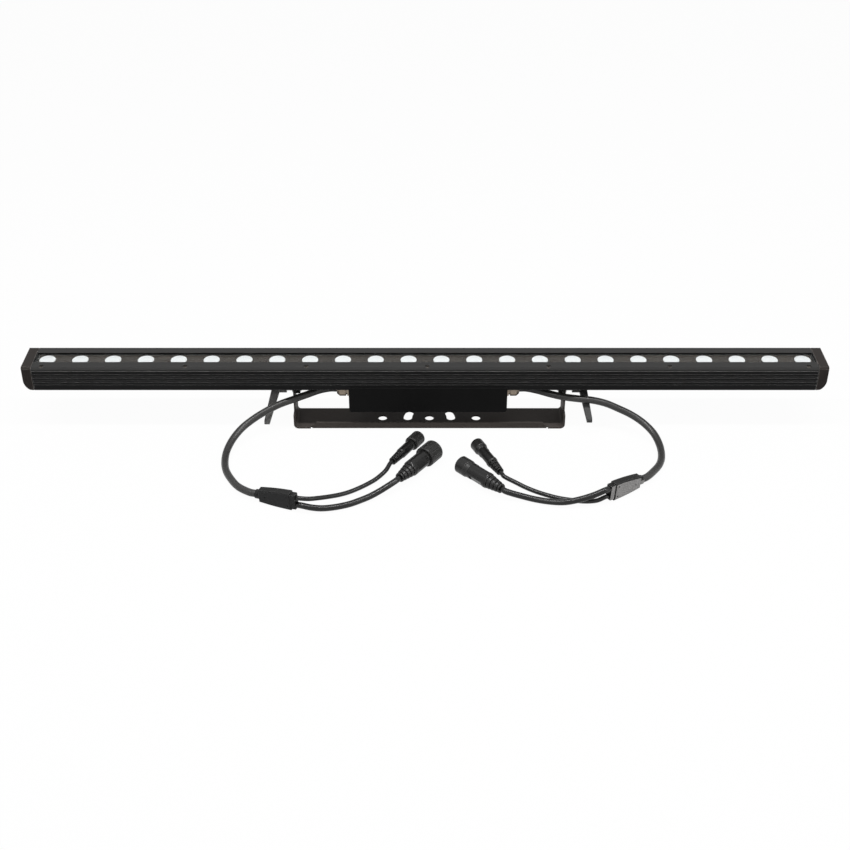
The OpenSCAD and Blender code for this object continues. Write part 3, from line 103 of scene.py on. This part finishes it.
routes = {
    "left_main_cable": route(
        LEFT_EXIT, TO_LEFT, MAIN,
        [(-139, -4, 46.2), (-154.5, -10.5, 43.8), (-172, -17, 40.5), (-189, -22.5, 36.5), (-205, -29, 31),
         (-220.5, -37, 24.5), (-234.5, -48.5, 18), (-244.5, -64, 12), (-250, -82.5, 7.5), (-250.5, -101, 5.3),
         (-247, -120.5, 5), (-239, -139, 5.4), (-227.5, -157.5, 6.6)],
        neck_face(LEFT_SPLITTER, LEFT_TURN), ALONG_LEFT),
    "right_main_cable": route(
        RIGHT_EXIT, TO_RIGHT, MAIN,
        [(136.5, -4.5, 46.2), (152.5, -11.5, 45.3), (169.5, -17.3, 44.4), (187, -20.8, 43.9), (204.5, -21.6, 42.3),
         (221.5, -23.2, 38.7), (237.5, -25.5, 32.5), (254, -30, 26), (268.5, -38.5, 19.5), (280, -52, 13),
         (285.5, -70.5, 8), (285.5, -90.5, 5.3), (280.5, -108.5, 5), (270, -126.2, 6.2)],
        neck_face(RIGHT_SPLITTER, RIGHT_TURN), ALONG_RIGHT),
    "left_power_tail": route(
        tail_face(LEFT_SPLITTER, LEFT_TURN, -1), ALONG_LEFT, POWER,
        [(-138.5, -198.3, 6.6), (-127, -197.6, 4.8), (-116, -195.5, 4.1), (-105, -192.5, 4), (-93.5, -188, 4),
         (-82, -181.5, 4.3), (-70.5, -175, 5.5), (-59.5, -168, 7.8), (-49, -161, 10.8)],
        LEFT_POWER, heading(LEFT_POWER_TURN)),
    "left_data_tail": route(
        tail_face(LEFT_SPLITTER, LEFT_TURN, 1), ALONG_LEFT, DATA,
        [(-140.5, -194.2, 16), (-129, -187, 12), (-117.5, -178.8, 8), (-106, -171, 5), (-94.5, -163, 3.4),
         (-83.5, -154.5, 3), (-74.5, -147, 3.1), (-66, -139.5, 3.8), (-59, -132, 5.2), (-52.5, -123.5, 7.2)],
        LEFT_DATA, heading(LEFT_DATA_TURN)),
    "right_power_tail": route(
        tail_face(RIGHT_SPLITTER, RIGHT_TURN, 1), ALONG_RIGHT, POWER,
        [(192, -184.3, 14), (175, -187.8, 10.2), (158, -188.5, 7), (141, -184.5, 4.8), (124, -179, 4.1),
         (108, -175.5, 6.4)],
        RIGHT_POWER, heading(RIGHT_POWER_TURN)),
    "right_data_tail": route(
        tail_face(RIGHT_SPLITTER, RIGHT_TURN, -1), ALONG_RIGHT, DATA,
        [(196.3, -182.6, 5), (182.2, -181.8, 3.1), (168, -179.2, 2.9), (153.5, -175.5, 2.9), (140.5, -170, 2.9),
         (127, -163, 3.2), (114.5, -156, 4.5), (102.5, -148, 6.3)],
        RIGHT_DATA, heading(RIGHT_DATA_TURN)),
}
# The thin tail's straight end is twice as long at its socket.
routes["right_data_tail"].insert(-2, RIGHT_DATA - 2 * DATA * heading(RIGHT_DATA_TURN))


def smooth(points):
    """Points along a rounded curve through the route, its two end stretches straight."""
    line = [points[0]]
    for i in range(len(points) - 1):
        a, b = points[i], points[i + 1]
        before = points[i - 1] if i > 0 else a - (b - a)
        after = points[i + 2] if i + 2 < len(points) else b + (b - a)
        span = (b - a).length
        start = (b - before) / ((b - a).length + (a - before).length) * span
        end = (after - a) / ((after - b).length + (b - a).length) * span
        for k in range(1, STEPS_PER_STRETCH + 1):
            t = k / STEPS_PER_STRETCH
            line.append((2 * t ** 3 - 3 * t ** 2 + 1) * a + (t ** 3 - 2 * t ** 2 + t) * start
                        + (3 * t ** 2 - 2 * t ** 3) * b + (t ** 3 - t ** 2) * end)
    return line


def make_cord(node, diameter, far_end, stiffness, pieces):
    """A tube along the node's route, kept as a mesh, which takes the place of the node's plain solid."""
    line = smooth(routes[node])
    data = bpy.data.curves.new(node + "_cord", "CURVE")
    data.dimensions = "3D"
    data.bevel_depth = diameter / 2
    data.bevel_resolution = TUBE_RESOLUTION
    data.use_fill_caps = True
    spline = data.splines.new("POLY")
    spline.points.add(len(line) - 1)
    for point, place in zip(spline.points, line):
        point.co = (*place, 1.0)
    spline.use_smooth = True
    curve = bpy.data.objects.new(node + "_curve", data)
    scene.collection.objects.link(curve)
    tube = bpy.data.meshes.new_from_object(curve.evaluated_get(bpy.context.evaluated_depsgraph_get()))
    tube.shade_smooth()
    bpy.data.objects.remove(curve)
    cord = bpy.data.objects.new(node + "_cord", tube)
    scene.collection.objects.link(cord)
    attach(cord, "yoke")
    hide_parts(node)
    return cord


# Each row: node, diameter, what is on the far end, stiffness, and the pieces that make up the far end
CORD_ROWS = (
    ("left_main_cable", MAIN, "fitting", "medium", ["left_splitter"]),
    ("right_main_cable", MAIN, "fitting", "medium", ["right_splitter"]),
    ("left_power_tail", POWER, "plug", "medium", ["left_power_plug", "left_power_nut"]),
    ("left_data_tail", DATA, "plug", "limp", ["left_data_plug", "left_data_nut"]),
    ("right_power_tail", POWER, "connector", "medium", ["right_power_socket", "right_power_cap"]),
    ("right_data_tail", DATA, "connector", "limp", ["right_data_socket", "right_data_cap"]),
)
cords = {row[0]: make_cord(*row) for row in CORD_ROWS}

# Building blocks of the node trees

COLOUR_A, COLOUR_B, COLOUR_RESULT = 6, 7, 2  # sockets of a Mix node that mixes colours


def link(tree, a, b):
    tree.links.new(a, b)


def put(node, values):
    for socket, value in values.items():
        node.inputs[socket].default_value = value


def add(tree, kind, values=None, operation=None):
    """A new shader node, with its input values given by socket."""
    node = tree.nodes.new("ShaderNode" + kind)
    if operation:
        node.operation = operation
    put(node, values or {})
    return node


def new_material(name):
    m = bpy.data.materials.new(name)
    m.use_nodes = True
    return m, m.node_tree, m.node_tree.nodes["Principled BSDF"]


def noise(tree, place, scale, detail):
    node = add(tree, "TexNoise", {"Scale": scale, "Detail": detail})
    link(tree, place, node.inputs["Vector"])
    return node.outputs["Fac"]


def maths(tree, operation, *sockets):
    node = add(tree, "Math", operation=operation)
    for i, socket in enumerate(sockets):
        link(tree, socket, node.inputs[i])
    return node.outputs[0]


def ranged(tree, value, low, high, to_low=0.0, to_high=1.0):
    """The value's share of the range from low to high, as a value from to_low to to_high."""
    node = add(tree, "MapRange", {"From Min": low, "From Max": high, "To Min": to_low, "To Max": to_high})
    link(tree, value, node.inputs["Value"])
    return node.outputs["Result"]


def blend(tree, share, a, b):
    """Colour a, and colour b by the share. A colour is a tuple or a socket."""
    node = add(tree, "Mix")
    node.data_type = "RGBA"
    link(tree, share, node.inputs[0])
    for i, colour in ((COLOUR_A, a), (COLOUR_B, b)):
        if isinstance(colour, tuple):
            node.inputs[i].default_value = (*colour, 1)
        else:
            link(tree, colour, node.inputs[i])
    return node.outputs[COLOUR_RESULT]


def shade(colour, factor):
    return tuple(min(1.0, c * factor) for c in colour)


def surface(tree, share, a, b, output="Material Output"):
    """Shows shader a, and shader b by the share."""
    node = add(tree, "MixShader")
    for i, socket in enumerate((share, a, b)):
        link(tree, socket, node.inputs[i])
    link(tree, node.outputs[0], tree.nodes[output].inputs["Surface"])


def seen_directly(tree):
    """One for a ray that comes from the camera, a reflection or through glass."""
    way = add(tree, "LightPath")
    first = maths(tree, "MAXIMUM", way.outputs["Is Camera Ray"], way.outputs["Is Glossy Ray"])
    return maths(tree, "MAXIMUM", first, way.outputs["Is Transmission Ray"])


# Materials

SUM_LOW, SUM_HIGH = 0.6, 1.4  # the range that the sum of two noises mostly keeps to
OFF_EDGE, ON_EDGE = 0.995, 0.85  # cosines between the true normal and the rounded one
EDGE_SAMPLES = 8
FINE_DETAIL, BROAD_DETAIL = 3.0, 4.0
RELIEF = 0.6
SMOOTHEST = 0.03  # the least roughness of a finish that varies
BESIDE_FACE, ON_FACE = 0.85, 0.98  # cosines between the normal and a splitter's broad face
SPECKLE_SCALE, SPECKLE_VARY = 700.0, 0.4


def material(name, colour, rough, specular=0.5, metallic=0.0, grain=(900.0, 900.0, 900.0), patch=18.0,
             vary=0.25, rough_vary=0.12, bump=0.00002, edge_highlight=None, edge_highlight_width=0.0004):
    """A finish that varies at a fine and at a broad scale, in object space, with a painted highlight along its edges.
    """
    m, t, shader = new_material(name)
    put(shader, {"Metallic": metallic, "Specular IOR Level": specular})
    place = add(t, "TexCoord").outputs["Object"]
    stretch = add(t, "Mapping", {"Scale": grain})
    link(t, place, stretch.inputs["Vector"])
    fine = noise(t, stretch.outputs["Vector"], 1.0, FINE_DETAIL)
    both = maths(t, "ADD", fine, noise(t, place, patch, BROAD_DETAIL))
    tone = ranged(t, both, SUM_LOW, SUM_HIGH)
    base = blend(t, tone, shade(colour, 1 - vary), shade(colour, 1 + vary))
    # Edges, found from the Bevel node's rounded normal, are blended towards the edge colour: a painted highlight along
    # every edge.
    if edge_highlight:
        edge = add(t, "Bevel", {"Radius": edge_highlight_width})
        edge.samples = EDGE_SAMPLES
        rounded = edge.outputs["Normal"]
        alike = add(t, "VectorMath", operation="DOT_PRODUCT")
        link(t, rounded, alike.inputs[0])
        link(t, add(t, "NewGeometry").outputs["Normal"], alike.inputs[1])
        base = blend(t, ranged(t, alike.outputs["Value"], OFF_EDGE, ON_EDGE), base, edge_highlight)
    link(t, base, shader.inputs["Base Color"])
    gloss = ranged(t, both, SUM_LOW, SUM_HIGH, max(SMOOTHEST, rough - rough_vary), min(1.0, rough + rough_vary))
    link(t, gloss, shader.inputs["Roughness"])
    if bump:
        relief = add(t, "Bump", {"Strength": RELIEF, "Distance": bump})
        link(t, fine, relief.inputs["Height"])
        if edge_highlight:
            link(t, rounded, relief.inputs["Normal"])
        link(t, relief.outputs["Normal"], shader.inputs["Normal"])
    return m


def two_way(name, face, sides, turn, edge_highlight):
    """Moulding whose two broad faces get a finely speckled tone that paints how the light falls on them, and a
    smoother black on its narrow sides.
    """
    m = material(name, sides, rough=0.4, specular=0.15, patch=90.0, vary=0.3, bump=0.00004, edge_highlight=edge_highlight,
                 edge_highlight_width=0.0005)
    t = m.node_tree
    base = t.nodes["Principled BSDF"].inputs["Base Color"]
    dark = base.links[0].from_socket
    place = add(t, "TexCoord")
    speckle = noise(t, place.outputs["Object"], SPECKLE_SCALE, BROAD_DETAIL)
    # A painted tone for the broad faces, set by how the light falls on them.
    painted_face_tone = blend(t, speckle, shade(face, 1 - SPECKLE_VARY), shade(face, 1 + SPECKLE_VARY))
    angle = math.radians(turn)
    across = add(t, "VectorMath", {1: (math.sin(angle), -math.cos(angle), 0.0)}, operation="DOT_PRODUCT")
    link(t, place.outputs["Normal"], across.inputs[0])
    on_face = ranged(t, maths(t, "ABSOLUTE", across.outputs["Value"]), BESIDE_FACE, ON_FACE)
    link(t, blend(t, on_face, dark, painted_face_tone), base)
    return m


def glass(name, painted_face_tone):
    """Clear glass that lets the light of the lamps through to what lies under it."""
    m, t, shader = new_material(name)
    put(shader, {"Base Color": (*painted_face_tone, 1), "Roughness": 0.02, "IOR": 1.12, "Specular IOR Level": 0.3,
                 "Transmission Weight": 1.0})
    clear = add(t, "BsdfTransparent", {"Color": (0.95, 0.96, 0.95, 1)})
    way = add(t, "LightPath")
    unseen = maths(t, "MAXIMUM", way.outputs["Is Shadow Ray"], way.outputs["Is Diffuse Ray"])
    surface(t, unseen, shader.outputs[0], clear.outputs[0])
    return m


def lens_painted_glow(name):
    """Moulded acrylic with a soft painted glow that is a little uneven."""
    m, t, shader = new_material(name)
    # The emission is a painted glow; the lens has no lamp of its own.
    put(shader, {"Base Color": (0.62, 0.62, 0.645, 1), "Roughness": 0.15, "Emission Strength": 0.14})
    cloud = noise(t, add(t, "TexCoord").outputs["Object"], 160.0, 2.0)
    glow = ranged(t, cloud, 0.3, 0.7, 0.8, 1.0)
    join = add(t, "CombineColor")
    for socket in ("Red", "Green", "Blue"):
        link(t, glow, join.inputs[socket])
    link(t, join.outputs[0], shader.inputs["Emission Color"])
    return m


# Anodised extrusions, drawn along the bar, and coated sheet and castings
trim_black = material(
    "trim_anodised", (0.017, 0.0168, 0.0165), rough=0.42, specular=0.12, grain=(40, 1500, 1500), vary=0.14,
    rough_vary=0.05, bump=0.000004, edge_highlight=(0.09, 0.088, 0.085), edge_highlight_width=0.0005)
# The bar's black is darker than the trims' to stand for the shade on its front faces, a painted shade, and its bright
# edge colour is a painted highlight along the ribs.
bar_shaded_black = material(
    "bar_anodised_shaded", (0.0075, 0.0075, 0.0076), rough=0.42, specular=0.06, grain=(30, 1200, 1200), vary=0.15,
    rough_vary=0.05, bump=0.000004, edge_highlight=(0.3, 0.3, 0.295), edge_highlight_width=0.0006)
cap_black = material(
    "cap_coated", (0.0165, 0.0135, 0.012), rough=0.5, specular=0.1, grain=(500, 500, 500), patch=60.0, vary=0.4,
    bump=0.00005, edge_highlight=(0.19, 0.172, 0.158), edge_highlight_width=0.0007)
box_black = material(
    "box_coated", (0.0058, 0.0058, 0.0058), rough=0.6, specular=0.04, grain=(800, 800, 800), bump=0.00004,
    edge_highlight=(0.03, 0.03, 0.03), edge_highlight_width=0.0005)
bracket_black = material(
    "bracket_coated", (0.046, 0.0395, 0.036), rough=0.5, specular=0.05, grain=(600, 600, 600), bump=0.00003,
    edge_highlight=(0.06, 0.054, 0.05), edge_highlight_width=0.0006)
panel_black = material(
    "panel_black", (0.034, 0.028, 0.0245), rough=0.6, specular=0.1, grain=(300, 300, 300), vary=0.3)

# Nylon, moulded plugs and splitters, rubber and cable jackets
# The left lever is made lighter than the right one, though both are the same nylon: painted light for the lamp that
# falls on its outer side.
nylon_lit_grey = material(
    "lever_painted_light", (0.13, 0.128, 0.125), rough=0.5, specular=0.15, grain=(350, 350, 350), patch=120.0, vary=0.45,
    bump=0.00005, edge_highlight=(0.24, 0.235, 0.23))
nylon_black = material(
    "lever_black", (0.045, 0.045, 0.045), rough=0.45, specular=0.15, grain=(350, 350, 350), patch=120.0, vary=0.35,
    bump=0.00005, edge_highlight=(0.13, 0.13, 0.13))
moulded = material(
    "plug_moulding", (0.0065, 0.0063, 0.0061), rough=0.3, specular=0.28, grain=(700, 700, 700), vary=0.3,
    rough_vary=0.05, bump=0.000004, edge_highlight=(0.11, 0.108, 0.106), edge_highlight_width=0.0003)
nut_black = material(
    "nut_moulding", (0.012, 0.0117, 0.0113), rough=0.32, specular=0.28, grain=(700, 700, 700), vary=0.3,
    rough_vary=0.05, bump=0.000004, edge_highlight=(0.15, 0.147, 0.144))
seal_black = material("seal_rubber", (0.02, 0.02, 0.02), rough=0.7, specular=0.3, bump=0.00003)
# The right splitter's broad faces are painted light grey: a painted sheen where the lamps catch them.
splitter_lit_copy = two_way(
    "splitter_painted_sheen", face=(0.235, 0.23, 0.226), sides=(0.010, 0.010, 0.010), turn=RIGHT_TURN, edge_highlight=(0.22, 0.22, 0.218))
# The left splitter is the same moulding with its broad faces left nearly black: a painted shade.
splitter_shaded_copy = two_way(
    "splitter_painted_shade", face=(0.014, 0.014, 0.0145), sides=(0.010, 0.010, 0.010), turn=LEFT_TURN, edge_highlight=(0.14, 0.14, 0.14))
cable_grey = material(
    "cable_jacket", (0.028, 0.0274, 0.0268), rough=0.34, specular=0.34, grain=(500, 500, 500), vary=0.15,
    rough_vary=0.03, bump=0)
tail_black = material(
    "tail_jacket", (0.003, 0.003, 0.003), rough=0.26, specular=0.36, grain=(60, 60, 60), vary=0.2, rough_vary=0.02,
    bump=0)

# Metal fittings
brass = material(
    "gland_brass", (0.29, 0.24, 0.19), rough=0.34, metallic=0.8, grain=(200, 1500, 1500), vary=0.2, rough_vary=0.1,
    edge_highlight=(0.5, 0.44, 0.38))
screw_dark = material(
    "screw_dark", (0.03, 0.027, 0.024), rough=0.35, metallic=0.9, vary=0.35, edge_highlight=(0.16, 0.14, 0.12))
steel = material("bright_steel", (0.5, 0.5, 0.5), rough=0.32, metallic=1.0, vary=0.15)

# Lenses and glass, and the pieces that are hidden inside
ring_orange = material("ring_silicone", (0.55, 0.1, 0.03), rough=0.5, specular=0.4)
board_white = material("board_mask", (0.8, 0.8, 0.78), rough=0.4, specular=0.4, vary=0.04)
led_yellow = material("led_phosphor", (0.9, 0.75, 0.3), rough=0.3, vary=0.1)
circuit_green = material("circuit_mask", (0.03, 0.16, 0.08), rough=0.35, grain=(400, 400, 400), vary=0.3)
component = material("component_case", (0.06, 0.06, 0.065), rough=0.4, specular=0.4)
lead_grey = material("lead_sleeve", (0.25, 0.25, 0.25), rough=0.5, specular=0.4, vary=0.1)
cover = glass("cover_glass", (0.96, 0.98, 0.97))
lens = lens_painted_glow("lens_acrylic")

finish = {
    "housing": bar_shaded_black, "front_trim": trim_black, "rear_trim": trim_black,
    "left_end_cap": cap_black, "right_end_cap": cap_black, "end_gaskets": seal_black,
    "end_cap_screws": steel, "trim_screws": screw_dark, "cover_glass": cover, "glass_gasket": seal_black,
    "lens_panel": panel_black, "lenses": lens, "led_board": board_white, "leds": led_yellow,
    "driver_box": box_black, "box_gasket": seal_black, "box_screws": steel, "driver_board": circuit_green,
    "board_screws": steel, "driver_parts": component, "inner_leads": lead_grey, "wire_grommet": seal_black,
    "pivot_ears": bar_shaded_black, "t_nuts": steel, "ear_screws": steel,
    "gland_bodies": brass, "gland_nuts": brass, "gland_lock_nuts": brass, "gland_seals": seal_black,
    "yoke_bracket": bracket_black, "friction_discs": nylon_black, "arm_washers": steel,
    "left_lever_handle": nylon_lit_grey, "left_lever_stud": steel, "left_lever_screw": steel, "left_lever_spring": steel,
    "right_lever_handle": nylon_black, "right_lever_stud": steel, "right_lever_screw": steel,
    "right_lever_spring": steel,
    "left_splitter": splitter_shaded_copy, "right_splitter": splitter_lit_copy,
    "left_power_plug": moulded, "left_data_plug": moulded, "left_power_nut": nut_black, "left_data_nut": nut_black,
    "right_power_socket": moulded, "right_data_socket": moulded, "right_power_cap": nut_black,
    "right_data_cap": nut_black, "contact_pins": brass, "plug_seals": ring_orange,
    "left_main_cable": cable_grey, "right_main_cable": cable_grey, "left_power_tail": tail_black,
    "right_power_tail": tail_black, "left_data_tail": tail_black, "right_data_tail": tail_black,
}


def give(obj, m):
    slots = obj.material_slots
    if len(slots) == 0:
        obj.data.materials.append(m)
    for s in slots:
        s.material = m


for name, m in finish.items():
    give(nodes[name], m)
for name, cord in cords.items():
    give(cord, finish[name])

# White background, floor and lamps

WHITE = (1, 1, 1, 1)
WORLD_LIGHT = 0.28
FLOOR_REACH, FLOOR_GAP = 6, 0.0004
FLOOR_TONE, FLOOR_WHITE = 0.7, 0.965  # its own tone, and the share of plain white that is shown instead


def white_world():
    world = bpy.data.worlds.new("studio")
    scene.world = world
    world.use_nodes = True
    t = world.node_tree
    light = t.nodes["Background"]
    put(light, {"Color": WHITE, "Strength": WORLD_LIGHT})
    seen = add(t, "Background", {"Color": WHITE, "Strength": 1.0})
    surface(t, seen_directly(t), light.outputs[0], seen.outputs[0], output="World Output")


def white_floor():
    mesh = bpy.data.meshes.new("floor")
    corners = [(x * FLOOR_REACH, y * FLOOR_REACH, 0) for x, y in ((-1, -1), (1, -1), (1, 1), (-1, 1))]
    mesh.from_pydata(corners, [], [(0, 1, 2, 3)])
    floor = bpy.data.objects.new("floor", mesh)
    floor.location = (0, 0, -FLOOR_GAP)
    scene.collection.objects.link(floor)
    m, t, shader = new_material("floor")
    t.nodes.remove(shader)
    lit = add(t, "BsdfDiffuse", {"Color": (FLOOR_TONE, FLOOR_TONE, FLOOR_TONE, 1)})
    white = add(t, "Emission", {"Strength": 1.0})
    share = add(t, "Math", {1: FLOOR_WHITE}, operation="MULTIPLY")
    link(t, seen_directly(t), share.inputs[0])
    surface(t, share.outputs[0], lit.outputs[0], white.outputs[0])
    mesh.materials.append(m)


def lamp(name, place, aim, width, depth, power):
    data = bpy.data.lights.new(name, "AREA")
    data.shape = "RECTANGLE"
    data.size = width
    data.size_y = depth
    data.energy = power
    obj = bpy.data.objects.new(name, data)
    obj.location = place
    obj.rotation_euler = (Vector(aim) - Vector(place)).to_track_quat("-Z", "Y").to_euler()
    scene.collection.objects.link(obj)


white_world()
white_floor()
lamp("strip", place=(0.0, -0.35, 1.5), aim=(0.0, -0.08, 0.03), width=2.4, depth=0.07, power=30.0)
lamp("back", place=(0.0, 1.9, 1.7), aim=(0.0, 0.0, 0.05), width=2.6, depth=0.3, power=2.0)
lamp("front", place=(-0.9, -1.6, 1.7), aim=(0.0, 0.0, 0.03), width=0.5, depth=0.5, power=6.0)
lamp("side", place=(1.7, -1.0, 0.8), aim=(0.15, -0.1, 0.03), width=0.9, depth=0.9, power=7.0)

bpy.context.view_layer.update()
